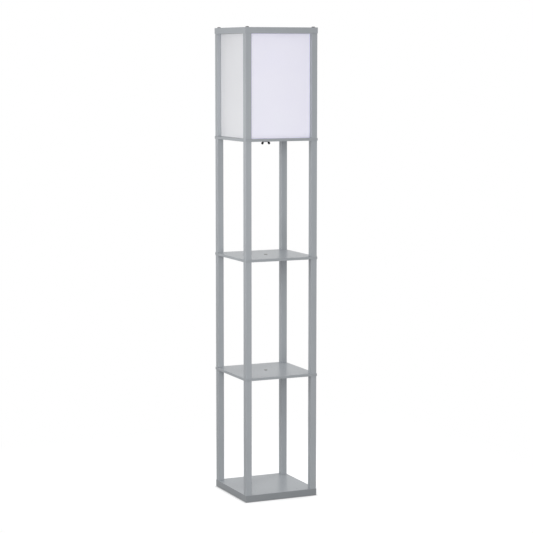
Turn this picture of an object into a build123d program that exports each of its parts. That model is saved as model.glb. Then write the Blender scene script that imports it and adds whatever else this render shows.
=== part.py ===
from build123d import *
import os

os.makedirs("parts", exist_ok=True)

# A shelf floor lamp in millimetres, standing on the XY plane, centred over the origin, with its front to -Y.
# Four corner posts are cut into sections that clamp a base, two open shelves and a lamp shelf between them.
# Above the lamp shelf four translucent panels stand in grooves in the posts and hide a bulb, under a
# square frame of mitred rails.

# Posts, boards and top frame.
post_span = 262.0  # over the outer faces of two posts
post_side = 21.0
tier_length = 392.5  # post section between two boards
lamp_post_length = 348.5
base_thickness = 23.0
shelf_thickness = 9.0
frame_height = 20.0
base_overhang = 1.0  # each board stands this far outside the posts
shelf_overhang = 1.75
frame_overhang = 1.0
edge_radius = 0.8
board_corner_radius = 1.2
post_end_chamfer = 0.4

# Felt pads let into the underside of the base.
pad_radius = 9.0
pad_thickness = 3.0
pad_proud = 1.0
pad_edge_inset = 42.0
pad_clearance = 0.1

# Panels of the lamp box.
panel_thickness = 2.5
panel_recess = 13.0  # from the posts' outer faces to the panel
groove_clearance = 0.25  # on each face of a panel
post_groove_depth = 4.0
shelf_groove_depth = 2.0
rail_groove_depth = 5.0
panel_end_clearance = 0.5
panel_chamfer = 0.3

# Screws, studs and the threaded inserts in the post ends.
stud_radius = 3.0
stud_hole_clearance = 0.25
insert_radius = 5.0
insert_length = 13.0
insert_flute_radius = 4.5
insert_flute_width = 2.0
insert_fit = 0.05
thread_fit = 0.05
stud_end_space = 1.0  # between a stud's tip and the end of its insert
insert_hole_spare = 1.0
stud_chamfer = 0.5
bolt_head_radius = 6.0
bolt_head_height = 3.0
bolt_dome_radius = 2.7
hex_key_radius = 2.3
hex_key_depth = 1.6
counterbore_radius = 7.0
counterbore_depth = 9.0

# Centre holes of the shelves and the plugs that close two of them.
nipple_radius = 5.0
nipple_bore_radius = 4.0
centre_hole_clearance = 0.25
plug_flange_radius = 6.3
plug_flange_height = 1.2
plug_dome_radius = 1.0
plug_stem_length = 6.0
plug_stem_wall = 1.4
plug_fit = 0.1

# Clamp under the lamp shelf: washer and wing nut.
wing_washer_radius = 11.0
washer_thickness = 1.2
wing_hub_radius = 7.5
wing_hub_height = 6.5
wing_thickness = 3.0
wing_width = 7.2
wing_length = 9.0  # between the centres of the wing's two round ends
wing_root_radius = 7.2  # from the axis to the inner round end's centre
wing_root_drop = 3.9
wing_splay = 32.0  # degrees from the axis

# Clamp above the lamp shelf: washer and hexagon nut.
foot_washer_radius = 12.0
lock_nut_flats = 14.0
lock_nut_thickness = 3.0
nut_chamfer = 0.4

# Lampholder.
holder_neck_radius = 8.5
holder_neck_height = 8.0
holder_radius = 20.0
holder_shoulder_height = 18.0
holder_shoulder_bulge = 2.5
holder_cap_height = 22.0
holder_spigot_height = 6.0
holder_spigot_wall = 1.4
holder_cavity_step = 1.0
holder_thread_depth = 11.0  # how far the nipple's hole runs up into the cap
nipple_engagement = 10.0
holder_ledge = 1.5
block_height = 9.0
block_clearance = 0.1
shell_fit = 0.1
shell_skirt_wall = 1.1
shell_rim_radius = 1.2
shell_wall = 3.5
shell_height = 40.0
shell_lip_height = 4.0
shell_lip_wall = 5.0
sleeve_wall = 0.5
sleeve_flange_grip = 0.7  # how far the shell's shoulder covers the sleeve's flange
sleeve_top_length = 1.5
terminal_radius = 3.0
terminal_head = 1.5
terminal_shank_radius = 1.6
terminal_shank_length = 6.0
terminal_spacing = 18.0
terminal_slot_width = 0.8
contact_width = 5.0
contact_thickness = 0.6
contact_length = 12.0
contact_rise = 2.9

# Screw bulb.
bulb_clearance = 0.3
cap_crest_radius = 13.2
cap_root_radius = 12.1
cap_pitch = 3.62
cap_turns = 5
cap_wall = 0.5
cap_lead_height = 1.5
cap_mouth_radius = 10.6
cap_skirt_height = 3.0
tip_radius = 4.6
tip_height = 1.6
tip_edge_radius = 1.2
insulator_height = 2.8
insulator_foot_step = 0.8  # how far its foot stands out round the tip
housing_fit = 0.1
housing_wall = 2.0
housing_collar_radius = 13.6
housing_collar_height = 5.0
housing_flare_height = 28.0
housing_flare_bulge = 1.6
globe_radius = 30.0
globe_rim_radius = 24.0
globe_wall = 1.5
light_board_clearance = 1.0
light_board_thickness = 1.6
light_chip_side = 3.5
light_chip_height = 0.8
light_chip_count = 8
light_chip_ring_radius = 13.0

# Heights that follow from these.
base_bottom = pad_proud
base_top = base_bottom + base_thickness
lower_shelf_bottom = base_top + tier_length
middle_shelf_bottom = lower_shelf_bottom + shelf_thickness + tier_length
lamp_shelf_bottom = middle_shelf_bottom + shelf_thickness + tier_length
lamp_shelf_top = lamp_shelf_bottom + shelf_thickness
frame_bottom = lamp_shelf_top + lamp_post_length
frame_top = frame_bottom + frame_height

# Places that follow from these.
post_outer = post_span / 2
post_inner = post_outer - post_side
post_pitch = post_span - post_side
panel_outer = post_outer - panel_recess
panel_middle = panel_outer - panel_thickness / 2
groove_width = panel_thickness + 2 * groove_clearance
groove_reach = post_inner + post_groove_depth
stud_hole_radius = stud_radius + stud_hole_clearance
stud_grip = insert_length - stud_end_space
centre_hole_radius = nipple_radius + centre_hole_clearance

corners = {
    "front_left": (-1, -1),
    "front_right": (1, -1),
    "back_left": (-1, 1),
    "back_right": (1, 1),
}
sides = {"front": 0, "right": 90, "back": 180, "left": 270}


def save(part, name):
    """Labels a finished piece and writes it under that name."""
    part.label = name
    export_step(part, f"parts/{name}.step")


# Posts. A section is a square bar with eased edges and a threaded insert's hole in each end.


def make_post(corner, bottom, length, grooved):
    """One post section over its corner, grooved for two panels where it belongs to the lamp box."""
    side_x, side_y = corners[corner]
    centre_x = side_x * post_pitch / 2
    centre_y = side_y * post_pitch / 2
    insert_hole_depth = insert_length + insert_hole_spare
    with BuildPart() as post:
        with BuildSketch(Plane.XY.offset(bottom)):
            with Locations((centre_x, centre_y)):
                RectangleRounded(post_side, post_side, edge_radius)
        extrude(amount=length)
        end_faces = post.faces().filter_by(Axis.Z)
        chamfer(end_faces.edges(), length=post_end_chamfer)
        hole_bottoms = (bottom, bottom + length - insert_hole_depth)
        with BuildSketch(*[Plane.XY.offset(height) for height in hole_bottoms]):
            with Locations((centre_x, centre_y)):
                Circle(insert_radius + insert_fit)
        extrude(amount=insert_hole_depth, mode=Mode.SUBTRACT)
        if grooved:
            groove_middle = groove_reach - post_groove_depth / 2
            with BuildSketch(Plane.XY.offset(bottom)):
                with Locations((side_x * groove_middle, side_y * panel_middle)):
                    Rectangle(post_groove_depth, groove_width)
                with Locations((side_x * panel_middle, side_y * groove_middle)):
                    Rectangle(groove_width, post_groove_depth)
            extrude(amount=length, mode=Mode.SUBTRACT)
    return post.part


tiers = {
    "lower": base_top,
    "middle": lower_shelf_bottom + shelf_thickness,
    "upper": middle_shelf_bottom + shelf_thickness,
}
for tier, tier_bottom in tiers.items():
    for corner in corners:
        save(make_post(corner, tier_bottom, tier_length, grooved=False), f"{tier}_post_{corner}")
for corner in corners:
    save(make_post(corner, lamp_shelf_top, lamp_post_length, grooved=True), f"lamp_post_{corner}")


# Threaded inserts, one at each end of every post section, with two flutes that grip the wood.


def make_inserts(bottom, length):
    """The eight inserts of one tier of posts."""
    with BuildPart() as inserts:
        insert_bottoms = (bottom, bottom + length - insert_length)
        with BuildSketch(*[Plane.XY.offset(height) for height in insert_bottoms]):
            with GridLocations(post_pitch, post_pitch, 2, 2):
                Circle(insert_radius)
                Circle(stud_radius + thread_fit, mode=Mode.SUBTRACT)
        extrude(amount=insert_length)
        flute_step = insert_length / 3
        flute_rises = [flute_step * count - insert_flute_width / 2 for count in (1, 2)]
        flute_bottoms = [height + rise for height in insert_bottoms for rise in flute_rises]
        with BuildSketch(*[Plane.XY.offset(height) for height in flute_bottoms]):
            with GridLocations(post_pitch, post_pitch, 2, 2):
                Circle(insert_radius + insert_fit)
                Circle(insert_flute_radius, mode=Mode.SUBTRACT)
        extrude(amount=insert_flute_width, mode=Mode.SUBTRACT)
    return inserts.part


for tier, tier_bottom in tiers.items():
    save(make_inserts(tier_bottom, tier_length), f"{tier}_post_inserts")
save(make_inserts(lamp_shelf_top, lamp_post_length), "lamp_post_inserts")


# Boards. Each is a square slab with eased edges and a hole at each corner for the stud or bolt.


def make_board(side, thickness, bottom):
    """A plain board with its corner holes."""
    with BuildPart() as board:
        with BuildSketch(Plane.XY.offset(bottom)):
            RectangleRounded(side, side, board_corner_radius)
        extrude(amount=thickness)
        fillet(board.faces().filter_by(Axis.Z).edges(), radius=edge_radius)
        with BuildSketch(Plane.XY.offset(bottom)):
            with GridLocations(post_pitch, post_pitch, 2, 2):
                Circle(stud_hole_radius)
        extrude(amount=thickness, mode=Mode.SUBTRACT)
    return board.part


base_side = post_span + 2 * base_overhang
pad_pitch = base_side - 2 * pad_edge_inset
base_blank = make_board(base_side, base_thickness, base_bottom)
with BuildPart() as base_board:
    add(base_blank)
    with BuildSketch(Plane.XY.offset(base_bottom)):
        with GridLocations(post_pitch, post_pitch, 2, 2):
            Circle(counterbore_radius)
    extrude(amount=counterbore_depth, mode=Mode.SUBTRACT)
    with BuildSketch(Plane.XY.offset(base_bottom)):
        with GridLocations(pad_pitch, pad_pitch, 2, 2):
            Circle(pad_radius + pad_clearance)
    extrude(amount=pad_thickness - pad_proud, mode=Mode.SUBTRACT)
save(base_board.part, "base_board")

with BuildPart() as floor_pads:
    with BuildSketch():
        with GridLocations(pad_pitch, pad_pitch, 2, 2):
            Circle(pad_radius)
    extrude(amount=pad_thickness)
save(floor_pads.part, "floor_pads")

shelf_side = post_span + 2 * shelf_overhang
open_shelves = {"lower_shelf": lower_shelf_bottom, "middle_shelf": middle_shelf_bottom}
for shelf_name, shelf_bottom in open_shelves.items():
    shelf_blank = make_board(shelf_side, shelf_thickness, shelf_bottom)
    with BuildPart() as shelf:
        add(shelf_blank)
        with BuildSketch(Plane.XY.offset(shelf_bottom)):
            Circle(centre_hole_radius)
        extrude(amount=shelf_thickness, mode=Mode.SUBTRACT)
    save(shelf.part, shelf_name)

# The lamp shelf is the same board with four shallow grooves that the panels stand in.
lamp_shelf_blank = make_board(shelf_side, shelf_thickness, lamp_shelf_bottom)
with BuildPart() as lamp_shelf:
    add(lamp_shelf_blank)
    with BuildSketch(Plane.XY.offset(lamp_shelf_bottom)):
        Circle(centre_hole_radius)
    extrude(amount=shelf_thickness, mode=Mode.SUBTRACT)
    with BuildSketch(Plane.XY.offset(lamp_shelf_top)):
        with GridLocations(1, 2 * panel_middle, 1, 2):
            Rectangle(2 * groove_reach, groove_width)
        with GridLocations(2 * panel_middle, 1, 2, 1):
            Rectangle(groove_width, 2 * groove_reach)
    extrude(amount=-shelf_groove_depth, mode=Mode.SUBTRACT)
save(lamp_shelf.part, "lamp_shelf")


# Plugs that close the centre holes of the two open shelves: a low domed flange on a hollow stem.
with BuildPart() as shelf_plugs:
    plug_tops = [height + shelf_thickness for height in open_shelves.values()]
    plug_stem_radius = centre_hole_radius - plug_fit
    with BuildSketch(*[Plane.XY.offset(height) for height in plug_tops]):
        Circle(plug_flange_radius)
    extrude(amount=plug_flange_height)
    flange_tops = shelf_plugs.faces().filter_by(Axis.Z).group_by(SortBy.AREA)[-1]
    upper_edges = [face.edges().sort_by(Axis.Z)[-1] for face in flange_tops if face.normal_at().Z > 0]
    fillet(upper_edges, radius=plug_dome_radius)
    with BuildSketch(*[Plane.XY.offset(height) for height in plug_tops]):
        Circle(plug_stem_radius)
        Circle(plug_stem_radius - plug_stem_wall, mode=Mode.SUBTRACT)
    extrude(amount=-plug_stem_length)
save(shelf_plugs.part, "shelf_plugs")


# Studs that join one post section to the next through a shelf, and the bolts at the bottom and the top.


def make_studs(shelf_bottom):
    """The four studs through one shelf."""
    with BuildPart() as studs:
        with BuildSketch(Plane.XY.offset(shelf_bottom - stud_grip)):
            with GridLocations(post_pitch, post_pitch, 2, 2):
                Circle(stud_radius)
        extrude(amount=shelf_thickness + 2 * stud_grip)
        chamfer(studs.edges().filter_by(GeomType.CIRCLE), length=stud_chamfer)
    return studs.part


def make_bolts(seat_height, shank_length, way):
    """Four bolts with domed hexagon-socket heads on this seat; way is 1 for heads on top, -1 for below."""
    head_end = seat_height + way * bolt_head_height
    with BuildPart() as bolts:
        with BuildSketch(Plane.XY.offset(seat_height)):
            with GridLocations(post_pitch, post_pitch, 2, 2):
                Circle(bolt_head_radius)
        extrude(amount=way * bolt_head_height)
        head_rims = bolts.edges().filter_by(lambda edge: abs(edge.center().Z - head_end) < edge_radius)
        fillet(head_rims, radius=bolt_dome_radius)
        with BuildSketch(Plane.XY.offset(head_end)):
            with GridLocations(post_pitch, post_pitch, 2, 2):
                RegularPolygon(hex_key_radius, 6)
        extrude(amount=-way * hex_key_depth, mode=Mode.SUBTRACT)
        with BuildSketch(Plane.XY.offset(seat_height)):
            with GridLocations(post_pitch, post_pitch, 2, 2):
                Circle(stud_radius)
        extrude(amount=-way * shank_length)
        shank_end = seat_height - way * shank_length
        shank_rims = bolts.edges().filter_by(lambda edge: abs(edge.center().Z - shank_end) < edge_radius)
        chamfer(shank_rims, length=stud_chamfer)
    return bolts.part


save(make_studs(lower_shelf_bottom), "lower_shelf_studs")
save(make_studs(middle_shelf_bottom), "middle_shelf_studs")
save(make_studs(lamp_shelf_bottom), "lamp_shelf_studs")

base_bolt_seat = base_bottom + counterbore_depth
save(make_bolts(base_bolt_seat, base_top - base_bolt_seat + stud_grip, way=-1), "base_bolts")
save(make_bolts(frame_top, frame_height + stud_grip, way=1), "cap_bolts")


# Top frame and panels, one of each to a side.
frame_outer = post_outer + frame_overhang
panel_bottom = lamp_shelf_top - shelf_groove_depth
panel_height = frame_bottom + rail_groove_depth - panel_end_clearance - panel_bottom
panel_width = 2 * (groove_reach - panel_end_clearance)


def side_plane(angle, height):
    """The plane of the front side at this height, turned to another side."""
    return Plane.XY.offset(height).rotated((0, 0, angle))


def make_rail(angle):
    """One rail of the top frame, mitred at both ends, with the panel's groove in its underside."""
    with BuildPart() as rail:
        with BuildSketch(side_plane(angle, frame_bottom)):
            Polygon(
                (-frame_outer, -frame_outer),
                (frame_outer, -frame_outer),
                (post_inner, -post_inner),
                (-post_inner, -post_inner),
                align=None,
            )
        extrude(amount=frame_height)
        along_rail = Axis((0, 0, 0), side_plane(angle, 0).x_dir)
        fillet(rail.edges().filter_by(along_rail), radius=edge_radius)
        with BuildSketch(side_plane(angle, frame_bottom)):
            with GridLocations(post_pitch, post_pitch, 2, 2):
                Circle(stud_hole_radius)
        extrude(amount=frame_height, mode=Mode.SUBTRACT)
        with BuildSketch(side_plane(angle, frame_bottom)):
            with Locations((0, -panel_middle)):
                Rectangle(2 * groove_reach, groove_width)
        extrude(amount=rail_groove_depth, mode=Mode.SUBTRACT)
    return rail.part


def make_panel(angle):
    """One translucent panel, standing in the lamp shelf's groove."""
    with BuildPart() as panel:
        with BuildSketch(side_plane(angle, panel_bottom)):
            with Locations((0, -panel_middle)):
                Rectangle(panel_width, panel_thickness)
        extrude(amount=panel_height)
        chamfer(panel.edges(), length=panel_chamfer)
    return panel.part


for side, angle in sides.items():
    save(make_rail(angle), f"top_rail_{side}")
    save(make_panel(angle), f"{side}_panel")


# Clamp that holds the lampholder: a hollow nipple through the lamp shelf, with a hexagon nut above the shelf
# and a wing nut below it.
wing_hub_top = lamp_shelf_bottom - washer_thickness
nipple_bottom = wing_hub_top - wing_hub_height
holder_bottom = lamp_shelf_top + washer_thickness + lock_nut_thickness
nipple_top = holder_bottom + nipple_engagement

with BuildPart() as threaded_nipple:
    with BuildSketch(Plane.XY.offset(nipple_bottom)):
        Circle(nipple_radius)
    extrude(amount=nipple_top - nipple_bottom)
    chamfer(threaded_nipple.edges().filter_by(GeomType.CIRCLE), length=stud_chamfer)
    with BuildSketch(Plane.XY.offset(nipple_bottom)):
        Circle(nipple_bore_radius)
    extrude(amount=nipple_top - nipple_bottom, mode=Mode.SUBTRACT)
save(threaded_nipple.part, "threaded_nipple")

with BuildPart() as wing_washer:
    with BuildSketch(Plane.XY.offset(wing_hub_top)):
        Circle(wing_washer_radius)
        Circle(centre_hole_radius, mode=Mode.SUBTRACT)
    extrude(amount=washer_thickness)
save(wing_washer.part, "wing_washer")

with BuildPart() as wing_nut:
    with BuildSketch(Plane.XZ):
        for way in (-1, 1):
            root = Vector(way * wing_root_radius, wing_hub_top - wing_root_drop)
            tip = root + Vector(way * wing_length, 0).rotate(Axis.Z, -way * (90 - wing_splay))
            with BuildLine():
                centre_line = Line(root, tip)
            SlotArc(centre_line, wing_width)
    extrude(amount=wing_thickness / 2, both=True)
    fillet(wing_nut.faces().filter_by(Axis.Y).edges(), radius=edge_radius)
    with BuildSketch(Plane.XY.offset(wing_hub_top - wing_hub_height)):
        Circle(wing_hub_radius)
    extrude(amount=wing_hub_height)
    wing_reach = wing_root_drop + wing_length + wing_width
    with BuildSketch(Plane.XY.offset(wing_hub_top)):
        Circle(nipple_radius + thread_fit)
    extrude(amount=-wing_reach, mode=Mode.SUBTRACT)
save(wing_nut.part, "wing_nut")

with BuildPart() as foot_washer:
    with BuildSketch(Plane.XY.offset(lamp_shelf_top)):
        Circle(foot_washer_radius)
        Circle(centre_hole_radius, mode=Mode.SUBTRACT)
    extrude(amount=washer_thickness)
save(foot_washer.part, "foot_washer")

with BuildPart() as lock_nut:
    with BuildSketch(Plane.XY.offset(holder_bottom - lock_nut_thickness)):
        RegularPolygon(lock_nut_flats / 2, 6, major_radius=False)
    extrude(amount=lock_nut_thickness)
    chamfer(lock_nut.faces().filter_by(Axis.Z).edges(), length=nut_chamfer)
    with BuildSketch(Plane.XY.offset(holder_bottom)):
        Circle(nipple_radius + thread_fit)
    extrude(amount=-lock_nut_thickness, mode=Mode.SUBTRACT)
save(lock_nut.part, "lock_nut")


# Lampholder. Its parts are turned about the lamp's axis, so each is an outline of radius and height.
spigot_outer = holder_radius - shell_skirt_wall - shell_fit
spigot_inner = spigot_outer - holder_spigot_wall
block_radius = spigot_inner - block_clearance
cap_rim = holder_bottom + holder_cap_height
block_top = cap_rim + holder_spigot_height
block_bottom = block_top - block_height
cap_cavity_floor = holder_bottom + holder_thread_depth
neck_bore = nipple_radius + thread_fit

with BuildPart() as holder_cap:
    with BuildSketch(Plane.XZ):
        with BuildLine():
            shoulder_foot = (holder_neck_radius, holder_bottom + holder_neck_height)
            shoulder_head = (holder_radius, holder_bottom + holder_shoulder_height)
            Polyline((neck_bore, holder_bottom), (holder_neck_radius, holder_bottom), shoulder_foot)
            SagittaArc(shoulder_foot, shoulder_head, -holder_shoulder_bulge)
            Polyline(
                shoulder_head,
                (holder_radius, cap_rim),
                (spigot_outer, cap_rim),
                (spigot_outer, block_top),
                (spigot_inner, block_top),
                (spigot_inner, block_bottom),
                (block_radius - holder_ledge, block_bottom),
                (nipple_radius + holder_cavity_step, cap_cavity_floor),
                (neck_bore, cap_cavity_floor),
                (neck_bore, holder_bottom),
            )
        make_face()
    revolve(axis=Axis.Z)
save(holder_cap.part, "holder_cap")

with BuildPart() as terminal_block:
    with BuildSketch(Plane.XY.offset(block_bottom)):
        Circle(block_radius)
    extrude(amount=block_height)
    with BuildSketch(Plane.XY.offset(block_bottom)):
        with GridLocations(terminal_spacing, terminal_spacing, 2, 1):
            Circle(terminal_shank_radius + thread_fit)
    extrude(amount=terminal_shank_length + insert_hole_spare, mode=Mode.SUBTRACT)
save(terminal_block.part, "terminal_block")

with BuildPart() as terminal_screws:
    with BuildSketch(Plane.XY.offset(block_bottom)):
        with GridLocations(terminal_spacing, terminal_spacing, 2, 1):
            Circle(terminal_radius)
    extrude(amount=-terminal_head)
    with BuildSketch(Plane.XY.offset(block_bottom - terminal_head)):
        with GridLocations(terminal_spacing, terminal_spacing, 2, 1):
            Rectangle(terminal_slot_width, 2 * terminal_radius)
    extrude(amount=terminal_head / 2, mode=Mode.SUBTRACT)
    with BuildSketch(Plane.XY.offset(block_bottom)):
        with GridLocations(terminal_spacing, terminal_spacing, 2, 1):
            Circle(terminal_shank_radius)
    extrude(amount=terminal_shank_length)
save(terminal_screws.part, "terminal_screws")

# The centre contact is a folded brass strip whose free end presses up against the bulb.
contact_level = block_top + contact_thickness / 2
contact_crest = contact_level + contact_rise
with BuildPart() as centre_contact:
    with BuildSketch(Plane.XZ):
        with BuildLine():
            FilletPolyline(
                (-contact_length / 2, contact_level),
                (contact_length / 2, contact_level),
                (contact_length / 2, contact_level + contact_rise / 2),
                (-contact_length / 4, contact_crest),
                (-contact_length / 2, contact_level + contact_rise / 2),
                radius=contact_thickness,
            )
            offset(amount=contact_thickness / 2, mode=Mode.REPLACE)
        make_face()
    extrude(amount=contact_width / 2, both=True)
save(centre_contact.part, "centre_contact")


# Bulb heights, from its tip up.
tip_bottom = contact_crest + contact_thickness / 2 + bulb_clearance
insulator_bottom = tip_bottom + tip_height
cap_bottom = insulator_bottom + insulator_height
thread_bottom = cap_bottom + cap_lead_height
thread_top = thread_bottom + cap_turns * cap_pitch
cap_top = thread_top + cap_skirt_height
collar_top = cap_top + housing_collar_height
housing_top = collar_top + housing_flare_height


def thread_arcs(root, crest, bottom, turns, upward):
    """A run of rolled thread crests, one arc to a turn, drawn up or down into the open outline."""
    for count in range(turns) if upward else reversed(range(turns)):
        low = (root, bottom + count * cap_pitch)
        middle = (crest, bottom + (count + 0.5) * cap_pitch)
        high = (root, bottom + (count + 1) * cap_pitch)
        if upward:
            ThreePointArc(low, middle, high)
        else:
            ThreePointArc(high, middle, low)


# The brass sleeve takes the bulb's thread, one turn longer, and its flange is gripped under the shell's
# shoulder.
sleeve_inner = cap_root_radius + bulb_clearance
sleeve_inner_crest = cap_crest_radius + bulb_clearance
sleeve_outer = sleeve_inner + sleeve_wall
sleeve_outer_crest = sleeve_inner_crest + sleeve_wall
sleeve_thread_bottom = thread_bottom - cap_pitch
sleeve_turns = cap_turns + 1
sleeve_top = thread_top + sleeve_top_length
flange_top = block_top + sleeve_wall
flange_radius = holder_radius - shell_wall + sleeve_flange_grip

with BuildPart() as screw_sleeve:
    with BuildSketch(Plane.XZ):
        with BuildLine():
            Polyline(
                (sleeve_inner, sleeve_thread_bottom),
                (sleeve_inner, block_top),
                (flange_radius, block_top),
                (flange_radius, flange_top),
                (sleeve_outer, flange_top),
                (sleeve_outer, sleeve_thread_bottom),
            )
            thread_arcs(sleeve_outer, sleeve_outer_crest, sleeve_thread_bottom, sleeve_turns, True)
            Polyline(
                (sleeve_outer, thread_top),
                (sleeve_outer, sleeve_top),
                (sleeve_inner, sleeve_top),
                (sleeve_inner, thread_top),
            )
            thread_arcs(sleeve_inner, sleeve_inner_crest, sleeve_thread_bottom, sleeve_turns, False)
        make_face()
    revolve(axis=Axis.Z)
save(screw_sleeve.part, "screw_sleeve")

with BuildPart() as holder_shell:
    with BuildSketch(Plane.XZ):
        shell_top = cap_rim + shell_height
        lip_bottom = shell_top - shell_lip_height
        with BuildLine():
            Polyline(
                (holder_radius - shell_skirt_wall, cap_rim),
                (holder_radius, cap_rim),
                (holder_radius, shell_top),
                (holder_radius - shell_lip_wall, shell_top),
                (holder_radius - shell_lip_wall, lip_bottom),
                (holder_radius - shell_wall, lip_bottom),
                (holder_radius - shell_wall, flange_top),
                (holder_radius - shell_skirt_wall, flange_top),
                close=True,
            )
        make_face()
    revolve(axis=Axis.Z)
    fillet(holder_shell.edges().group_by(Axis.Z)[-1], radius=shell_rim_radius)
save(holder_shell.part, "holder_shell")


# Bulb: tip contact, insulator, screw cap, housing, light board and globe.
with BuildPart() as bulb_tip_contact:
    with BuildSketch(Plane.XY.offset(tip_bottom)):
        Circle(tip_radius)
    extrude(amount=tip_height)
    fillet(bulb_tip_contact.edges().sort_by(Axis.Z)[0], radius=tip_edge_radius)
save(bulb_tip_contact.part, "bulb_tip_contact")

with BuildPart() as bulb_insulator:
    with BuildSketch(Plane.XZ):
        plug_radius = cap_mouth_radius - housing_fit
        with BuildLine():
            Polyline(
                (0, insulator_bottom),
                (tip_radius + insulator_foot_step, insulator_bottom),
                (plug_radius, cap_bottom),
                (plug_radius, thread_bottom),
                (0, thread_bottom),
                close=True,
            )
        make_face()
    revolve(axis=Axis.Z)
save(bulb_insulator.part, "bulb_insulator")

with BuildPart() as bulb_screw_cap:
    with BuildSketch(Plane.XZ):
        cap_inner = cap_root_radius - cap_wall
        with BuildLine():
            Polyline(
                (cap_inner, thread_bottom),
                (cap_mouth_radius, cap_bottom + cap_wall),
                (cap_mouth_radius, cap_bottom),
                (cap_mouth_radius + cap_wall, cap_bottom),
                (cap_root_radius, thread_bottom),
            )
            thread_arcs(cap_root_radius, cap_crest_radius, thread_bottom, cap_turns, True)
            Polyline(
                (cap_root_radius, thread_top),
                (cap_root_radius, cap_top),
                (cap_inner, cap_top),
                (cap_inner, thread_top),
            )
            thread_arcs(cap_inner, cap_crest_radius - cap_wall, thread_bottom, cap_turns, False)
        make_face()
    revolve(axis=Axis.Z)
save(bulb_screw_cap.part, "bulb_screw_cap")

with BuildPart() as bulb_housing:
    with BuildSketch(Plane.XZ):
        neck_outer = cap_inner - housing_fit
        neck_inner = neck_outer - housing_wall
        flare_foot = (housing_collar_radius, collar_top)
        flare_rim = (globe_rim_radius, housing_top)
        deck_bottom = housing_top - housing_wall
        with BuildLine():
            Polyline(
                (neck_inner, thread_top),
                (neck_outer, thread_top),
                (neck_outer, cap_top),
                (housing_collar_radius, cap_top),
                flare_foot,
            )
            SagittaArc(flare_foot, flare_rim, -housing_flare_bulge)
            Polyline(
                flare_rim,
                (0, housing_top),
                (0, deck_bottom),
                (globe_rim_radius - housing_wall, deck_bottom),
                (housing_collar_radius - housing_wall, collar_top),
                (neck_inner, cap_top),
                (neck_inner, thread_top),
            )
        make_face()
    revolve(axis=Axis.Z)
save(bulb_housing.part, "bulb_housing")

globe_centre = housing_top + (globe_radius**2 - globe_rim_radius**2) ** 0.5
globe_inner_radius = globe_radius - globe_wall
globe_inner_rim = (globe_inner_radius**2 - (globe_centre - housing_top) ** 2) ** 0.5
with BuildPart() as bulb_globe:
    with BuildSketch(Plane.XZ):
        with BuildLine():
            globe_top = (0, globe_centre + globe_radius)
            globe_foot = (globe_rim_radius, housing_top)
            globe_inner_top = (0, globe_centre + globe_inner_radius)
            globe_inner_foot = (globe_inner_rim, housing_top)
            ThreePointArc(globe_foot, (globe_radius, globe_centre), globe_top)
            Line(globe_top, globe_inner_top)
            ThreePointArc(globe_inner_top, (globe_inner_radius, globe_centre), globe_inner_foot)
            Line(globe_inner_foot, globe_foot)
        make_face()
    revolve(axis=Axis.Z)
save(bulb_globe.part, "bulb_globe")

with BuildPart() as bulb_light_board:
    with BuildSketch(Plane.XY.offset(housing_top)):
        Circle(globe_inner_rim - light_board_clearance)
    extrude(amount=light_board_thickness)
    with BuildSketch(Plane.XY.offset(housing_top + light_board_thickness)):
        with PolarLocations(light_chip_ring_radius, light_chip_count):
            Rectangle(light_chip_side, light_chip_side)
    extrude(amount=light_chip_height)
save(bulb_light_board.part, "bulb_light_board")
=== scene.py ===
import math

import bpy
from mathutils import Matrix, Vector


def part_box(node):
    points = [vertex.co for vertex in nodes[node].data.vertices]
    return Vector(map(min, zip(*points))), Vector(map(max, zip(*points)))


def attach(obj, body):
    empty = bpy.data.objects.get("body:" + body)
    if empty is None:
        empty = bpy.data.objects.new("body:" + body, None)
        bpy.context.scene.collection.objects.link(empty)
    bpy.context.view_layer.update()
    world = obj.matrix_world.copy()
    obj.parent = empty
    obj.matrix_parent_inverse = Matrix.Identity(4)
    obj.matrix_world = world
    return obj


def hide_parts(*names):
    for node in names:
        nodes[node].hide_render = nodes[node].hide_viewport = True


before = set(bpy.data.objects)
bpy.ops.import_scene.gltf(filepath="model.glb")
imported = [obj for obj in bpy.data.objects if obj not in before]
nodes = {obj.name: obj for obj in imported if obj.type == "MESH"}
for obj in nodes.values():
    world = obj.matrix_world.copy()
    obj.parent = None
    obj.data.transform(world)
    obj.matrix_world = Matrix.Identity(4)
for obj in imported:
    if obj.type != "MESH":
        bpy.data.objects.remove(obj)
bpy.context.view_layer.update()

# A square floor lamp with open shelves, in metres, standing on z = 0 with its front to -Y. The sections
# follow its assembly from the floor up: base, tiers of posts and shelves, lamp, panels and top frame.


# ---------------------------------------------------------------------------
# Base board. A thick square of fibreboard, sprayed all over with satin silver-grey lacquer. Its upright
# sides are painted darker than its top, a painted shade, and its arrises are rubbed a little paler and
# duller.

lacquer_grey = (0.405, 0.425, 0.445, 1)
lacquer_specular = 0.16
lacquer_relief = 0.00003
post_satin, board_satin = 0.40, 0.25
# Painted shade: the base's upright sides are coloured darker than its top.
base_painted_side_shade = 0.71
board_grain = (40, 700, 700)
clouds_per_metre, mottles_per_metre, peel_per_metre = 7.0, 140.0, 620.0
cloud_swing, mottle_swing, grain_swing = 0.07, 0.03, 0.045
mottle_dulling = 0.08
arris_reach = 0.0016
arris_lift, arris_dulling = 0.05, 0.08
grain_relief = 0.5
mitre_shade = 0.6


def new_material(name):
    """A node material with its shader and output, ready for a finish."""
    material = bpy.data.materials.new(name)
    material.use_nodes = True
    tree = material.node_tree
    tree.nodes.clear()
    shader = tree.nodes.new("ShaderNodeBsdfPrincipled")
    output = tree.nodes.new("ShaderNodeOutputMaterial")
    tree.links.new(shader.outputs["BSDF"], output.inputs["Surface"])
    return material, tree, shader


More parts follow.
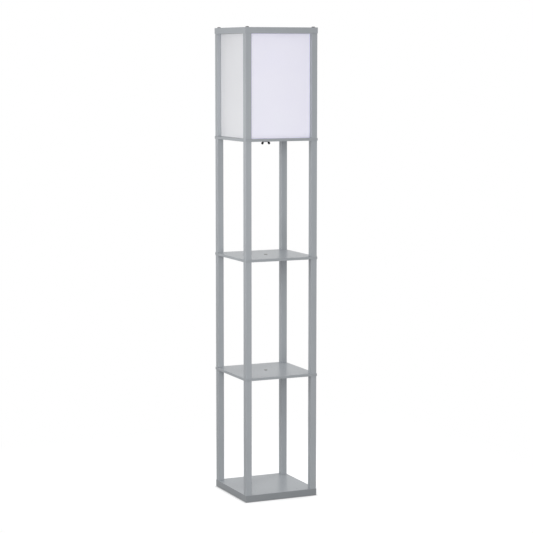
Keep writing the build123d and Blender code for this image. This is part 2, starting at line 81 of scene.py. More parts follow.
def add_node(tree, kind, inputs=None, **settings):
    """A node with these settings; each input is a value or another node's output."""
    node = tree.nodes.new(kind)
    for name, value in settings.items():
        setattr(node, name, value)
    for name, value in (inputs or {}).items():
        if isinstance(value, bpy.types.NodeSocket):
            tree.links.new(value, node.inputs[name])
        else:
            node.inputs[name].default_value = value
    return node


def math_node(tree, operation, first, second=0.0, third=0.0):
    """The output of one Math node."""
    return add_node(tree, "ShaderNodeMath", {0: first, 1: second, 2: third}, operation=operation).outputs[0]


def noise_node(tree, point, scale, detail, stretch=(1, 1, 1)):
    """Soft noise from 0 to 1, so many features to the metre, its coordinates stretched along each axis."""
    mapping = add_node(tree, "ShaderNodeMapping", {"Vector": point, "Scale": stretch})
    inputs = {"Vector": mapping.outputs[0], "Scale": scale, "Detail": detail}
    return add_node(tree, "ShaderNodeTexNoise", inputs).outputs["Fac"]


def vary(tree, noise, swing):
    """A factor about 1 that this noise moves by half the swing each way."""
    return math_node(tree, "MULTIPLY_ADD", noise, swing, 1 - swing / 2)


def new_group(name, inputs, outputs):
    """An empty shader group with these named sockets, and its input and output nodes."""
    group = bpy.data.node_groups.new(name, "ShaderNodeTree")
    for socket, kind in inputs.items():
        group.interface.new_socket(socket, in_out="INPUT", socket_type=kind)
    for socket, kind in outputs.items():
        group.interface.new_socket(socket, in_out="OUTPUT", socket_type=kind)
    return group, group.nodes.new("NodeGroupInput"), group.nodes.new("NodeGroupOutput")


def make_box_edges():
    """A group that masks the arrises of a box, and the four upright sides of it."""
    vector, number = "NodeSocketVector", "NodeSocketFloat"
    group, given, result = new_group(
        "box_edges",
        {"Point": vector, "Centre": vector, "Half Size": vector, "Reach": number},
        {"Arris": number, "Side": number},
    )
    offset = add_node(group, "ShaderNodeVectorMath", {0: given.outputs["Point"], 1: given.outputs["Centre"]},
                      operation="SUBTRACT")
    folded = add_node(group, "ShaderNodeVectorMath", {0: offset.outputs[0]}, operation="ABSOLUTE")
    inward = add_node(group, "ShaderNodeVectorMath", {0: given.outputs["Half Size"], 1: folded.outputs[0]},
                      operation="SUBTRACT")
    depth = add_node(group, "ShaderNodeSeparateXYZ", {0: inward.outputs[0]}).outputs
    nearer = math_node(group, "MINIMUM", depth["X"], depth["Y"])
    farther = math_node(group, "MAXIMUM", depth["X"], depth["Y"])
    second = math_node(group, "MAXIMUM", nearer, math_node(group, "MINIMUM", farther, depth["Z"]))
    fade = add_node(group, "ShaderNodeMapRange",
                    {"Value": second, "From Max": given.outputs["Reach"], "To Min": 1.0, "To Max": 0.0},
                    interpolation_type="SMOOTHSTEP")
    group.links.new(fade.outputs[0], result.inputs["Arris"])
    group.links.new(math_node(group, "LESS_THAN", nearer, depth["Z"]), result.inputs["Side"])
    return group


def make_satin_film():
    """A group that gives sprayed satin lacquer its cloudiness, faint grain and fine orange peel."""
    vector, number, colour = "NodeSocketVector", "NodeSocketFloat", "NodeSocketColor"
    group, given, result = new_group(
        "satin_film",
        {"Point": vector, "Grain Point": vector, "Film": colour, "Shade": number, "Arris": number,
         "Satin": number},
        {"Colour": colour, "Roughness": number, "Height": number},
    )
    point = given.outputs["Point"]
    cloud = noise_node(group, point, clouds_per_metre, 3.0)
    mottle = noise_node(group, point, mottles_per_metre, 3.0)
    grain = noise_node(group, given.outputs["Grain Point"], 1.0, 4.0)
    peel = noise_node(group, point, peel_per_metre, 1.0)
    drift = math_node(group, "MULTIPLY", vary(group, cloud, cloud_swing), vary(group, mottle, mottle_swing))
    rub = math_node(group, "MULTIPLY_ADD", given.outputs["Arris"], arris_lift, 1.0)
    streak = math_node(group, "MULTIPLY", vary(group, grain, grain_swing), rub)
    value = math_node(group, "MULTIPLY", drift, streak)
    shaded = math_node(group, "MULTIPLY", value, given.outputs["Shade"])
    tinted = add_node(group, "ShaderNodeVectorMath", {0: given.outputs["Film"], "Scale": shaded},
                      operation="SCALE")
    group.links.new(tinted.outputs[0], result.inputs["Colour"])
    rough = math_node(group, "MULTIPLY_ADD", mottle, mottle_dulling, given.outputs["Satin"])
    worn = math_node(group, "MULTIPLY_ADD", given.outputs["Arris"], arris_dulling, rough)
    group.links.new(worn, result.inputs["Roughness"])
    skin = math_node(group, "MULTIPLY_ADD", grain, grain_relief, peel)
    group.links.new(skin, result.inputs["Height"])
    return group


box_edges = make_box_edges()
satin_film = make_satin_film()


def lacquer(name, node, grain_stretch, painted_side_shade=1.0, satin=post_satin, seam=0.0):
    """The lacquer for pieces shaped and placed like this node, mirrored to the other sides of the lamp.

    A seam is the half width of the darker line where the film sinks into mitred corners.
    """
    low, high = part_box(node)
    centre = [(a + b) / 2 for a, b in zip(low, high)]
    half = [(b - a) / 2 for a, b in zip(low, high)]
    material, tree, shader = new_material(name)
    place = add_node(tree, "ShaderNodeTexCoord").outputs["Object"]
    mirrored = add_node(tree, "ShaderNodeVectorMath", {0: place}, operation="ABSOLUTE").outputs[0]
    edges = add_node(tree, "ShaderNodeGroup", node_tree=box_edges)
    tree.links.new(mirrored, edges.inputs["Point"])
    edges.inputs["Centre"].default_value = centre
    edges.inputs["Half Size"].default_value = half
    edges.inputs["Reach"].default_value = arris_reach
    film = add_node(tree, "ShaderNodeGroup", node_tree=satin_film)
    stretched = add_node(tree, "ShaderNodeMapping", {"Vector": place, "Scale": grain_stretch})
    # Painted shade: the upright sides' colour is multiplied by this factor.
    shade = math_node(tree, "MULTIPLY_ADD", edges.outputs["Side"], painted_side_shade - 1, 1.0)
    if seam:
        axes = add_node(tree, "ShaderNodeSeparateXYZ", {0: mirrored}).outputs
        from_mitre = math_node(tree, "ABSOLUTE", math_node(tree, "SUBTRACT", axes["X"], axes["Y"]))
        sunk = add_node(tree, "ShaderNodeMapRange",
                        {"Value": from_mitre, "From Max": seam, "To Min": mitre_shade},
                        interpolation_type="SMOOTHSTEP").outputs[0]
        shade = math_node(tree, "MULTIPLY", shade, sunk)
    tree.links.new(place, film.inputs["Point"])
    tree.links.new(stretched.outputs[0], film.inputs["Grain Point"])
    tree.links.new(shade, film.inputs["Shade"])
    tree.links.new(edges.outputs["Arris"], film.inputs["Arris"])
    film.inputs["Film"].default_value = lacquer_grey
    film.inputs["Satin"].default_value = satin
    bump = add_node(tree, "ShaderNodeBump", {"Height": film.outputs["Height"], "Distance": lacquer_relief})
    tree.links.new(film.outputs["Colour"], shader.inputs["Base Color"])
    tree.links.new(film.outputs["Roughness"], shader.inputs["Roughness"])
    tree.links.new(bump.outputs[0], shader.inputs["Normal"])
    shader.inputs["Specular IOR Level"].default_value = lacquer_specular
    return material


def dress(node, material):
    """Gives a CAD node this material in place of its plain one."""
    for slot in nodes[node].material_slots:
        slot.material = material


dress("base_board", lacquer("base_lacquer", "base_board", board_grain, base_painted_side_shade, board_satin))


# ---------------------------------------------------------------------------
# Floor pads. Four discs of pressed grey wool felt, punched from sheet and glued into recesses under the
# base. They stand a millimetre proud, with soft rims and a fibrous face.

felt_grey, felt_shadow = (0.17, 0.17, 0.175, 1), (0.10, 0.10, 0.105, 1)
fibres_per_metre, clumps_per_metre = 1800.0, 260.0
fibre_lay = (1, 0.35, 1)
fibre_share = 0.6
fibre_relief = 0.0002
pad_radius = 0.009
pad_sides, pad_cuts = 64, 5
felt_rim = 0.0007
felt_fuzz, fuzz_size = 0.00025, 0.0012
smooth_angle = math.radians(35)


def start_piece(name):
    """The primitive that was just added, with its object and mesh named."""
    piece = bpy.context.object
    piece.name = name
    piece.data.name = name
    return piece


def apply_modifier(piece, kind, **settings):
    """Adds one modifier with these settings and applies it at once."""
    modifier = piece.modifiers.new(kind.lower(), kind)
    for key, value in settings.items():
        setattr(modifier, key, value)
    bpy.context.view_layer.objects.active = piece
    bpy.ops.object.modifier_apply(modifier=modifier.name)


def settle(piece, material, body):
    """Brings a finished piece's place into its mesh, then gives it its finish and its body."""
    bpy.ops.object.select_all(action="DESELECT")
    piece.select_set(True)
    bpy.context.view_layer.objects.active = piece
    bpy.ops.object.transform_apply(location=True, rotation=True, scale=True)
    bpy.ops.object.shade_smooth_by_angle(angle=smooth_angle)
    piece.data.materials.clear()
    piece.data.materials.append(material)
    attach(piece, body)


def make_felt():
    """Pressed wool felt: short tangled fibres, dull, with a pale bloom at grazing angles."""
    material, tree, shader = new_material("pressed_felt")
    place = add_node(tree, "ShaderNodeTexCoord").outputs["Object"]
    fibres = noise_node(tree, place, fibres_per_metre, 4.0, fibre_lay)
    clumps = noise_node(tree, place, clumps_per_metre, 3.0)
    clumped = math_node(tree, "MULTIPLY", clumps, 1 - fibre_share)
    blend = math_node(tree, "MULTIPLY_ADD", fibres, fibre_share, clumped)
    ramp = add_node(tree, "ShaderNodeValToRGB", {"Fac": blend})
    ramp.color_ramp.elements[0].position = 0.3
    ramp.color_ramp.elements[0].color = felt_shadow
    ramp.color_ramp.elements[1].position = 0.75
    ramp.color_ramp.elements[1].color = felt_grey
    bump = add_node(tree, "ShaderNodeBump", {"Height": fibres, "Distance": fibre_relief})
    tree.links.new(ramp.outputs[0], shader.inputs["Base Color"])
    tree.links.new(bump.outputs[0], shader.inputs["Normal"])
    shader.inputs["Roughness"].default_value = 0.95
    shader.inputs["Sheen Weight"].default_value = 0.3
    return material


pads_low, pads_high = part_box("floor_pads")
pad_thickness = pads_high[2] - pads_low[2]
pad_centre = pads_high[0] - pad_radius
felt = make_felt()
fuzz = bpy.data.textures.new("felt_fuzz", "CLOUDS")
fuzz.noise_scale = fuzz_size
for count, (side_x, side_y) in enumerate([(-1, -1), (1, -1), (1, 1), (-1, 1)]):
    bpy.ops.object.select_all(action="DESELECT")
    bpy.ops.mesh.primitive_cylinder_add(
        vertices=pad_sides, radius=pad_radius - felt_fuzz / 2, depth=pad_thickness - felt_fuzz,
        location=(side_x * pad_centre, side_y * pad_centre, pad_thickness / 2), end_fill_type="TRIFAN",
    )
    pad = start_piece(f"felt_pad_{count + 1}")
    bpy.ops.object.mode_set(mode="EDIT")
    bpy.ops.mesh.select_all(action="SELECT")
    bpy.ops.mesh.subdivide(number_cuts=pad_cuts)
    bpy.ops.object.mode_set(mode="OBJECT")
    apply_modifier(pad, "BEVEL", width=felt_rim, segments=3, limit_method="ANGLE")
    apply_modifier(pad, "DISPLACE", texture=fuzz, strength=felt_fuzz, texture_coords="GLOBAL")
    settle(pad, felt, "frame")
    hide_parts("floor_pads")


# ---------------------------------------------------------------------------
# Fasteners. Bolts with domed socket heads hold the base and the top frame; they are steel with a dark
# plated finish. Studs, inserts, washers and the hollow nipple are bright zinc-plated steel.

polish_clouds_per_metre = 300.0
turning_pitch = (300, 300, 6000)
turning_relief, turning_strength = 0.00001, 0.6


def make_plating(name, colour, roughness, smear):
    """Plated steel, with fine cloudiness in its polish and a trace of turning marks."""
    material, tree, shader = new_material(name)
    place = add_node(tree, "ShaderNodeTexCoord").outputs["Object"]
    cloud = noise_node(tree, place, polish_clouds_per_metre, 4.0)
    turning = noise_node(tree, place, 1.0, 2.0, turning_pitch)
    tint = add_node(tree, "ShaderNodeValToRGB", {"Fac": cloud})
    tint.color_ramp.elements[0].color = [channel * (1 - smear) for channel in colour] + [1]
    tint.color_ramp.elements[1].color = [*colour, 1]
    gloss = math_node(tree, "MULTIPLY_ADD", cloud, smear, roughness)
    bump = add_node(tree, "ShaderNodeBump",
                    {"Height": turning, "Distance": turning_relief, "Strength": turning_strength})
    tree.links.new(tint.outputs[0], shader.inputs["Base Color"])
    tree.links.new(gloss, shader.inputs["Roughness"])
    tree.links.new(bump.outputs[0], shader.inputs["Normal"])
    shader.inputs["Metallic"].default_value = 1.0
    return material


dark_plate = make_plating("dark_nickel_plate", (0.20, 0.20, 0.205), roughness=0.30, smear=0.25)
zinc_plate = make_plating("bright_zinc_plate", (0.62, 0.63, 0.65), roughness=0.26, smear=0.20)
for bolts in ("base_bolts", "cap_bolts"):
    dress(bolts, dark_plate)
for hidden_steel in ("threaded_nipple", "wing_washer", "foot_washer", "lock_nut"):
    dress(hidden_steel, zinc_plate)


# ---------------------------------------------------------------------------
# Tiers. Each is four square post sections with a shelf board clamped on top of them by studs that screw
# into inserts in the post ends. Posts and boards are sprayed like the base, the grain along the posts.

# Painted shade: the shelves' upright edges are coloured a little darker than their tops.
shelf_painted_side_shade = 0.92
post_grain = (900, 900, 30)
shelf_over = {"lower": "lower_shelf", "middle": "middle_shelf", "upper": "lamp_shelf", "lamp": None}
for tier, shelf in shelf_over.items():
    post_lacquer = lacquer(f"{tier}_post_lacquer", f"{tier}_post_back_right", post_grain)
    for corner in ("front_left", "front_right", "back_left", "back_right"):
        dress(f"{tier}_post_{corner}", post_lacquer)
    dress(f"{tier}_post_inserts", zinc_plate)
    if shelf:
        dress(shelf, lacquer(f"{shelf}_lacquer", shelf, board_grain, shelf_painted_side_shade, board_satin))
        dress(f"{shelf}_studs", zinc_plate)


# ---------------------------------------------------------------------------
# Plugs. A low cap of grey moulded plastic on a short stem closes the unused centre hole of each open
# shelf. It is pressed in by hand.

flow_lines_per_metre = 60.0
flow_shade, flow_dulling = 0.92, 0.12


def make_moulding(name, colour, roughness, grain_size, grain_depth, gloss_level=0.5):
    """Moulded plastic with the fine spark texture of its tool and slight variation in its gloss."""
    material, tree, shader = new_material(name)
    place = add_node(tree, "ShaderNodeTexCoord").outputs["Object"]
    spark = noise_node(tree, place, 1 / grain_size, 2.0)
    flow = noise_node(tree, place, flow_lines_per_metre, 3.0)
    tint = add_node(tree, "ShaderNodeValToRGB", {"Fac": flow})
    tint.color_ramp.elements[0].position = 0.25
    tint.color_ramp.elements[0].color = [channel * flow_shade for channel in colour] + [1]
    tint.color_ramp.elements[1].position = 0.75
    tint.color_ramp.elements[1].color = [*colour, 1]
    gloss = math_node(tree, "MULTIPLY_ADD", flow, flow_dulling, roughness)
    bump = add_node(tree, "ShaderNodeBump", {"Height": spark, "Distance": grain_depth})
    tree.links.new(tint.outputs[0], shader.inputs["Base Color"])
    tree.links.new(gloss, shader.inputs["Roughness"])
    tree.links.new(bump.outputs[0], shader.inputs["Normal"])
    shader.inputs["Specular IOR Level"].default_value = gloss_level
    return material


plug_plastic = make_moulding(
    "grey_plug_plastic", (0.24, 0.235, 0.22), roughness=0.40, grain_size=0.0006, grain_depth=0.00003,
)
dress("shelf_plugs", plug_plastic)


# ---------------------------------------------------------------------------
# Wing nut. Moulded in black nylon in one piece: a round hub on the hollow nipple, with two splayed wings
# that swell out to thick rounded tips. Turned by hand, it clamps the lampholder to the shelf above.

nut_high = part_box("wing_nut")[1]
nipple_low, nipple_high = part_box("threaded_nipple")
hub_top = nut_high[2]
hub_height = hub_top - nipple_low[2]
hub_radius = 0.0074
hub_rim = 0.0012
nut_play = 0.00008
nut_bore_radius = nipple_high[0] + nut_play
wing_splay = math.radians(32)
wing_tip_radius, wing_tip_thickness = 0.0044, 0.0050
wing_tip_rounding, wing_web_rounding = 0.42, 0.3
wing_tip_reach, wing_tip_drop = 0.0122, 0.0106
wing_web = (0.0060, 0.0034, 0.0120)
nut_voxel = 0.00025
nut_smoothing = 10
nut_sides = 64


def add_cylinder(name, radius, depth, place, turn=(0, 0, 0)):
    """A capped cylinder, alone in the selection."""
    bpy.ops.object.select_all(action="DESELECT")
    bpy.ops.mesh.primitive_cylinder_add(
        vertices=nut_sides, radius=radius, depth=depth, location=place, rotation=turn,
    )
    return start_piece(name)


def join_pieces(pieces):
    """Joins these pieces into the first of them."""
    bpy.ops.object.select_all(action="DESELECT")
    for piece in pieces:
        piece.select_set(True)
    bpy.context.view_layer.objects.active = pieces[0]
    bpy.ops.object.join()
    return bpy.context.object


def cut_away(piece, cutter):
    """Cuts the cutter's space out of the piece and deletes the cutter."""
    apply_modifier(piece, "BOOLEAN", operation="DIFFERENCE", object=cutter, solver="EXACT")
    bpy.data.objects.remove(cutter)


hub = add_cylinder("moulded_wing_nut", hub_radius, hub_height, (0, 0, hub_top - hub_height / 2))
apply_modifier(hub, "BEVEL", width=hub_rim, segments=4, limit_method="ANGLE")
nut_parts = [hub]
for way in (-1, 1):
    tip_place = Vector((way * wing_tip_reach, 0, hub_top - wing_tip_drop))
    lean = way * wing_splay
    along = Vector((-math.sin(lean), 0, math.cos(lean)))
    tip = add_cylinder("wing_tip", wing_tip_radius, wing_tip_thickness, tip_place, (math.pi / 2, 0, 0))
    tip_rounding = wing_tip_thickness * wing_tip_rounding
    apply_modifier(tip, "BEVEL", width=tip_rounding, segments=5, limit_method="ANGLE")
    bpy.ops.object.select_all(action="DESELECT")
    bpy.ops.mesh.primitive_cube_add(
        size=1, scale=wing_web, rotation=(0, -lean, 0), location=tip_place + along * wing_web[2] / 2,
    )
    web = start_piece("wing_web")
    apply_modifier(web, "BEVEL", width=wing_web[1] * wing_web_rounding, segments=3, affect="EDGES")
    nut_parts += [tip, web]
wing_nut = join_pieces(nut_parts)
apply_modifier(wing_nut, "REMESH", mode="VOXEL", voxel_size=nut_voxel)
apply_modifier(wing_nut, "SMOOTH", factor=0.5, iterations=nut_smoothing)
top_trim = add_cylinder("top_trim", 2 * hub_radius, hub_height, (0, 0, hub_top + hub_height / 2))
cut_away(wing_nut, top_trim)
bore = add_cylinder("bore", nut_bore_radius, 3 * hub_height, (0, 0, hub_top))
cut_away(wing_nut, bore)
black_nylon = make_moulding(
    "black_nylon", (0.008, 0.008, 0.009), roughness=0.45, grain_size=0.0004, grain_depth=0.00002,
    gloss_level=0.2,
)
settle(wing_nut, black_nylon, "wing_nut")
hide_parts("wing_nut")


# ---------------------------------------------------------------------------
# Lampholder. A black phenolic cap and shell screwed together round a ceramic terminal block, with a brass
# sleeve for the bulb's thread and a sprung brass contact in the middle.

phenolic = make_moulding(
    "black_phenolic", (0.020, 0.019, 0.018), roughness=0.24, grain_size=0.003, grain_depth=0.00001,
)
dress("holder_cap", phenolic)

# The shell is a turned ring with upright flutes round its outside, so that fingers can grip it. Its section
# is drawn from the skirt's outer foot up, over the lip and down the inside, as radius and height.
shell_low, shell_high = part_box("holder_shell")
shell_radius = shell_high[0]
shell_foot, shell_top = shell_low[2], shell_high[2]
shell_rim = 0.0012
skirt_step = 0.0065
lip_height = 0.004
skirt_bore, shell_bore, lip_bore = 0.0189, 0.0165, 0.0150
flute_inset = 0.009
flute_foot, flute_top = shell_foot + flute_inset, shell_top - flute_inset
shell_sides = 96
flute_margin = 0.00028
flute_depth = 0.0006
shell_arris = 0.00018
rim_corner = 0.3 * shell_rim
shell_section = [
    (shell_radius, flute_foot),
    (shell_radius, flute_top),
    (shell_radius, shell_top - shell_rim),
    (shell_radius - rim_corner, shell_top - rim_corner),
    (shell_radius - shell_rim, shell_top),
    (lip_bore, shell_top),
    (lip_bore, shell_top - lip_height),
    (shell_bore, shell_top - lip_height),
    (shell_bore, shell_foot + skirt_step),
    (skirt_bore, shell_foot + skirt_step),
    (skirt_bore, shell_foot),
]


def select_faces(piece, wanted):
    """Selects, in edit mode, the faces whose centres pass this test."""
    bpy.ops.mesh.select_all(action="DESELECT")
    bpy.ops.object.mode_set(mode="OBJECT")
    for face in piece.data.polygons:
        face.select = wanted(piece.matrix_world @ face.center)
    bpy.ops.object.mode_set(mode="EDIT")


def is_flute(centre):
    """True for every second face of the shell's outer wall between the foot and top of the flutes."""
    turn = math.atan2(centre.y, centre.x) / math.tau * shell_sides
    between = flute_foot < centre.z < flute_top
    return between and centre.xy.length > shell_bore + flute_depth and math.floor(turn) % 2 == 0


bpy.ops.object.select_all(action="DESELECT")
bpy.ops.mesh.primitive_circle_add(vertices=shell_sides, radius=shell_radius, location=(0, 0, shell_foot))
shell = start_piece("fluted_holder_shell")
bpy.ops.object.mode_set(mode="EDIT")
bpy.ops.mesh.select_mode(type="EDGE")
bpy.ops.mesh.select_all(action="SELECT")
radius, height = shell_radius, shell_foot
for next_radius, next_height in shell_section:
    rise = (0, 0, next_height - height)
    bpy.ops.mesh.extrude_region_move(TRANSFORM_OT_translate={"value": rise})
    growth = next_radius / radius
    bpy.ops.transform.resize(value=(growth, growth, 1), center_override=(0, 0, next_height))
    radius, height = next_radius, next_height
bpy.ops.mesh.select_all(action="DESELECT")
bpy.ops.mesh.select_non_manifold(
    extend=False, use_wire=False, use_multi_face=False, use_non_contiguous=False,
)
bpy.ops.mesh.bridge_edge_loops()
bpy.ops.mesh.select_mode(type="FACE")
bpy.ops.mesh.select_all(action="SELECT")
bpy.ops.mesh.normals_make_consistent(inside=False)
select_faces(shell, is_flute)
bpy.ops.mesh.inset(thickness=flute_margin, depth=0, use_individual=True)
bpy.ops.mesh.inset(thickness=flute_margin, depth=-flute_depth, use_individual=True)
bpy.ops.object.mode_set(mode="OBJECT")
apply_modifier(shell, "BEVEL", width=shell_arris, segments=2, limit_method="ANGLE",
               angle_limit=math.radians(25))
settle(shell, phenolic, "frame")
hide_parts("holder_shell")

steatite = make_moulding(
    "steatite", (0.74, 0.71, 0.64), roughness=0.55, grain_size=0.0005, grain_depth=0.00003,
)
dress("terminal_block", steatite)
brass = make_plating("stamped_brass", (0.78, 0.58, 0.27), roughness=0.28, smear=0.15)
for contact in ("terminal_screws", "centre_contact", "screw_sleeve"):
    dress(contact, brass)


# ---------------------------------------------------------------------------
# Bulb. A screw cap of rolled nickel-plated shell, a white moulded housing that sheds heat, a small board of
# light chips and a frosted globe over them.

nickel = make_plating("rolled_nickel", (0.66, 0.655, 0.64), roughness=0.22, smear=0.12)
dress("bulb_screw_cap", nickel)
dress("bulb_tip_contact", nickel)
black_glass = make_moulding(
    "black_glass", (0.015, 0.015, 0.018), roughness=0.12, grain_size=0.004, grain_depth=0.00001,
)
white_housing = make_moulding(
    "white_housing", (0.80, 0.80, 0.78), roughness=0.32, grain_size=0.0008, grain_depth=0.00001,
)
white_board = make_moulding(
    "white_board", (0.78, 0.78, 0.74), roughness=0.40, grain_size=0.0008, grain_depth=0.00001,
)
dress("bulb_insulator", black_glass)
dress("bulb_housing", white_housing)
dress("bulb_light_board", white_board)


globe_etch_per_metre, globe_casts_per_metre = 2500.0, 40.0
globe_scatter = 0.002
globe_gloss, etch_dulling = 0.38, 0.10
etch_relief = 0.00001


def make_frosted_globe():
    """Frosted diffuser: white and finely etched, with light scattered inside its wall."""
    material, tree, shader = new_material("frosted_globe")
    place = add_node(tree, "ShaderNodeTexCoord").outputs["Object"]
    etch = noise_node(tree, place, globe_etch_per_metre, 2.0)
    gloss = math_node(tree, "MULTIPLY_ADD", etch, etch_dulling, globe_gloss)
    cast = noise_node(tree, place, globe_casts_per_metre, 2.0)
    milk = add_node(tree, "ShaderNodeValToRGB", {"Fac": cast})
    milk.color_ramp.elements[0].color = (0.86, 0.86, 0.84, 1)
    milk.color_ramp.elements[1].color = (0.90, 0.90, 0.89, 1)
    bump = add_node(tree, "ShaderNodeBump", {"Height": etch, "Distance": etch_relief})
    tree.links.new(milk.outputs[0], shader.inputs["Base Color"])
    tree.links.new(gloss, shader.inputs["Roughness"])
    tree.links.new(bump.outputs[0], shader.inputs["Normal"])
    shader.inputs["Subsurface Weight"].default_value = 0.6
    shader.inputs["Subsurface Radius"].default_value = (1, 1, 1)
    shader.inputs["Subsurface Scale"].default_value = globe_scatter
    return material


dress("bulb_globe", make_frosted_globe())


# ---------------------------------------------------------------------------
# Panels. Four sheets of opal plastic, thin enough to pass light, with a fine matt face. They drop into
# grooves in the posts and stand in the lamp shelf; the top rails hold them down.

# Painted shade: how far from the grooves the sheet's colour is darkened, and to what factor.
painted_groove_shade_reach, painted_groove_shade = 0.0016, 0.35
post_inner_face = -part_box("lamp_post_front_left")[1][0]
rail_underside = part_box("top_rail_front")[0][2]
lamp_shelf_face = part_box("lamp_shelf")[1][2]
matt_per_metre, casts_per_metre = 1500.0, 5.0
cast_shade = 0.975
sheet_gloss, matt_dulling = 0.46, 0.12
sheet_relief = 0.00001


def make_opal(name, node, across, milk_colour, reach, painted_glow_colour):
    """Opal sheet, matt and cloudy within; its outer skin has a painted glow for light passing through it.

    The axis named by across runs through the sheet. Where the sheet enters its grooves, its colour is
    darkened, a painted shade.
    """
    low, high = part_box(node)
    through = "XYZ".index(across)
    along = 1 - through
    skin = (abs(low[through]) + abs(high[through])) / 2
    material, tree, shader = new_material(name)
    place = add_node(tree, "ShaderNodeTexCoord").outputs["Object"]
    folded = add_node(tree, "ShaderNodeVectorMath", {0: place}, operation="ABSOLUTE").outputs[0]
    axes = add_node(tree, "ShaderNodeSeparateXYZ", {0: folded}).outputs
    matt = noise_node(tree, place, matt_per_metre, 2.0)
    cast = noise_node(tree, place, casts_per_metre, 2.0)
    milk = add_node(tree, "ShaderNodeValToRGB", {"Fac": cast})
    milk.color_ramp.elements[0].position = 0.3
    milk.color_ramp.elements[0].color = [channel * cast_shade for channel in milk_colour] + [1]
    milk.color_ramp.elements[1].position = 0.7
    milk.color_ramp.elements[1].color = [*milk_colour, 1]
    # Painted shade: the colour darkens towards the grooves at the posts, rails and shelf.
    post_gap = math_node(tree, "SUBTRACT", post_inner_face, axes["XYZ"[along]])
    rail_gap = math_node(tree, "SUBTRACT", rail_underside, axes["Z"])
    shelf_gap = math_node(tree, "SUBTRACT", axes["Z"], lamp_shelf_face)
    gap = math_node(tree, "MINIMUM", post_gap, math_node(tree, "MINIMUM", rail_gap, shelf_gap))
    clear = add_node(tree, "ShaderNodeMapRange",
                     {"Value": gap, "From Max": painted_groove_shade_reach, "To Min": painted_groove_shade},
                     interpolation_type="SMOOTHSTEP").outputs[0]
    tinted = add_node(tree, "ShaderNodeVectorMath", {0: milk.outputs[0], "Scale": clear}, operation="SCALE")
    # Painted glow: the outer skin emits this colour, less near the grooves.
    outside = math_node(tree, "GREATER_THAN", axes[across], skin)
    painted_skin_light = add_node(tree, "ShaderNodeVectorMath",
                    {0: painted_glow_colour, "Scale": math_node(tree, "MULTIPLY", outside, clear)}, operation="SCALE")
    gloss = math_node(tree, "MULTIPLY_ADD", matt, matt_dulling, sheet_gloss)
    bump = add_node(tree, "ShaderNodeBump", {"Height": matt, "Distance": sheet_relief})
    tree.links.new(tinted.outputs[0], shader.inputs["Base Color"])
    tree.links.new(painted_skin_light.outputs[0], shader.inputs["Emission Color"])
    tree.links.new(gloss, shader.inputs["Roughness"])
    tree.links.new(bump.outputs[0], shader.inputs["Normal"])
    shader.inputs["Subsurface Weight"].default_value = 1.0
    shader.inputs["Subsurface Radius"].default_value = (1, 1, 1)
    shader.inputs["Subsurface Scale"].default_value = reach
    shader.inputs["Emission Strength"].default_value = 1.0
    return material


# Painted light: one opal, coloured paler and bluer with more glow at the front and back than at the sides.
painted_lit_opal = make_opal(
    "bright_opal_sheet", "front_panel", across="Y", milk_colour=(0.93, 0.915, 0.99), reach=0.001,
    painted_glow_colour=(0.075, 0.07, 0.145),
)
painted_shaded_opal = make_opal(
    "dense_opal_sheet", "left_panel", across="X", milk_colour=(0.785, 0.785, 0.805), reach=0.0012,
    painted_glow_colour=(0.02, 0.02, 0.02),
)
for side in ("front", "back"):
    dress(f"{side}_panel", painted_lit_opal)
for side in ("left", "right"):
    dress(f"{side}_panel", painted_shaded_opal)


# ---------------------------------------------------------------------------
# Top frame. Four rails mitred and glued at the corners, lacquered like the posts, with a dark bolt down
# through each corner into the post below.

side_rail_grain = (700, 40, 700)
mitre_seam = 0.00035
rail_pairs = {
    "long_rail_lacquer": ("top_rail_back", "top_rail_front", board_grain),
    "side_rail_lacquer": ("top_rail_right", "top_rail_left", side_rail_grain),
}
for finish_name, (rail, opposite, grain) in rail_pairs.items():
    rail_lacquer = lacquer(finish_name, rail, grain, seam=mitre_seam)
    dress(rail, rail_lacquer)
    dress(opposite, rail_lacquer)


# ---------------------------------------------------------------------------
# Studio. A plain floor under a white surround. A soft lamp close on the left rakes the tiers, two at the
# front left, one low and one high, and one near the camera fill the front, and two light the back.

floor_size = 30.0
floor_grey = (0.32, 0.32, 0.32, 1)
lit_floor_grey, floor_lift = (0.60, 0.60, 0.60, 1), 0.62
contact_width = 0.012
shadow_end = 1.1
pure_white = (1, 1, 1, 1)
ambient_tint, ambient_strength = (0.97, 0.985, 1.0, 1), 0.54


def seen_directly(tree):
    """One where the camera, a gloss or a clear piece looks at the background, and zero for its light."""
    path = add_node(tree, "ShaderNodeLightPath").outputs
    direct = math_node(tree, "MAXIMUM", path["Is Camera Ray"], path["Is Glossy Ray"])
    return math_node(tree, "MAXIMUM", direct, path["Is Transmission Ray"])


bpy.ops.object.select_all(action="DESELECT")
bpy.ops.mesh.primitive_plane_add(size=floor_size)
floor = start_piece("studio_floor")
floor_paint = bpy.data.materials.new("studio_floor")
floor_paint.use_nodes = True
floor_tree = floor_paint.node_tree
floor_tree.nodes.clear()
floor_place = add_node(floor_tree, "ShaderNodeTexCoord").outputs["Object"]
floor_folded = add_node(floor_tree, "ShaderNodeVectorMath", {0: floor_place}, operation="ABSOLUTE")
floor_axes = add_node(floor_tree, "ShaderNodeSeparateXYZ", {0: floor_folded.outputs[0]}).outputs
reach = math_node(floor_tree, "MAXIMUM", floor_axes["X"], floor_axes["Y"])
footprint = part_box("base_board")[1][0]
contact_span = {"From Min": footprint - contact_width, "From Max": footprint + contact_width}
contact = add_node(floor_tree, "ShaderNodeMapRange", {"Value": reach, **contact_span},
                   interpolation_type="SMOOTHSTEP").outputs[0]
far = add_node(floor_tree, "ShaderNodeMapRange",
               {"Value": reach, "From Min": footprint, "From Max": shadow_end},
               interpolation_type="SMOOTHSTEP").outputs[0]
matt_floor = add_node(floor_tree, "ShaderNodeBsdfDiffuse", {"Color": floor_grey})
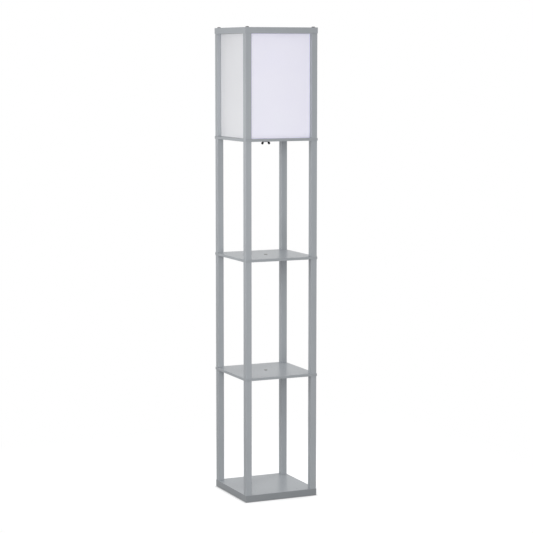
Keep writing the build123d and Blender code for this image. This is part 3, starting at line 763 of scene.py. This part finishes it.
lit_floor = add_node(floor_tree, "ShaderNodeBsdfDiffuse", {"Color": lit_floor_grey})
lift = add_node(floor_tree, "ShaderNodeEmission", {"Color": pure_white, "Strength": floor_lift})
white = add_node(floor_tree, "ShaderNodeEmission", {"Color": pure_white, "Strength": 1.0})
lifted = add_node(floor_tree, "ShaderNodeAddShader", {0: lit_floor.outputs[0], 1: lift.outputs[0]})
near = add_node(floor_tree, "ShaderNodeMixShader",
                {0: contact, 1: matt_floor.outputs[0], 2: lifted.outputs[0]})
shown = add_node(floor_tree, "ShaderNodeMixShader", {0: far, 1: near.outputs[0], 2: white.outputs[0]})
surface = add_node(floor_tree, "ShaderNodeMixShader",
                   {0: seen_directly(floor_tree), 1: matt_floor.outputs[0], 2: shown.outputs[0]})
add_node(floor_tree, "ShaderNodeOutputMaterial", {"Surface": surface.outputs[0]})
floor.data.materials.append(floor_paint)

world = bpy.data.worlds.new("studio")
bpy.context.scene.world = world
world.use_nodes = True
world_tree = world.node_tree
world_tree.nodes.clear()
ambient = add_node(world_tree, "ShaderNodeBackground", {"Color": ambient_tint, "Strength": ambient_strength})
surround = add_node(world_tree, "ShaderNodeBackground", {"Color": pure_white, "Strength": 1.0})
backdrop = add_node(world_tree, "ShaderNodeMixShader",
                    {0: seen_directly(world_tree), 1: ambient.outputs[0], 2: surround.outputs[0]})
add_node(world_tree, "ShaderNodeOutputWorld", {"Surface": backdrop.outputs[0]})

# Each lamp's place, the point it faces, its width in metres and its power in watts. The lamps don't show
# in reflections.
studio_lamps = {
    "side_lamp": ((-1.05, -0.12, 1.26), (0, 0, 1.1), 0.5, 3.1),
    "low_lamp": ((-0.9, -1.65, 0.25), (0, 0, 0.25), 0.7, 6.2),
    "near_lamp": ((-0.75, -1.3, 1.4), (0, 0, 1.4), 0.6, 3.1),
    "front_lamp": ((-2.0, -4.5, 1.5), (0, 0, 0.8), 1.6, 50.0),
    "right_lamp": ((3.2, 1.6, 1.8), (0, 0, 1.0), 1.4, 40.0),
    "back_lamp": ((-1.0, 4.5, 1.5), (0, 0, 0.8), 1.6, 50.0),
}
for lamp_name, (place, target, lamp_size, power) in studio_lamps.items():
    light = bpy.data.lights.new(lamp_name, "AREA")
    light.shape = "DISK"
    light.size = lamp_size
    light.energy = power
    lamp = bpy.data.objects.new(lamp_name, light)
    bpy.context.collection.objects.link(lamp)
    lamp.location = place
    lamp.rotation_euler = (Vector(target) - Vector(place)).to_track_quat("-Z", "Y").to_euler()
    lamp.visible_glossy = False

# The camera stands 24 degrees to the left of the lamp's front, level with the lamp box, and looks a
# little down.
camera_azimuth = math.radians(24.105)
camera_distance = 6.173
camera_height = 1.504
camera_aim = Vector((0.003, 0.0, 0.785))
camera_lens = 122.4
camera_data = bpy.data.cameras.new("camera")
camera_data.lens = camera_lens
camera = bpy.data.objects.new("camera", camera_data)
bpy.context.collection.objects.link(camera)
camera.location = (
    -camera_distance * math.sin(camera_azimuth), -camera_distance * math.cos(camera_azimuth),
    camera_height,
)
camera.rotation_euler = (camera_aim - camera.location).to_track_quat("-Z", "Y").to_euler()
bpy.context.scene.camera = camera
bpy.context.scene.view_settings.view_transform = "Standard"
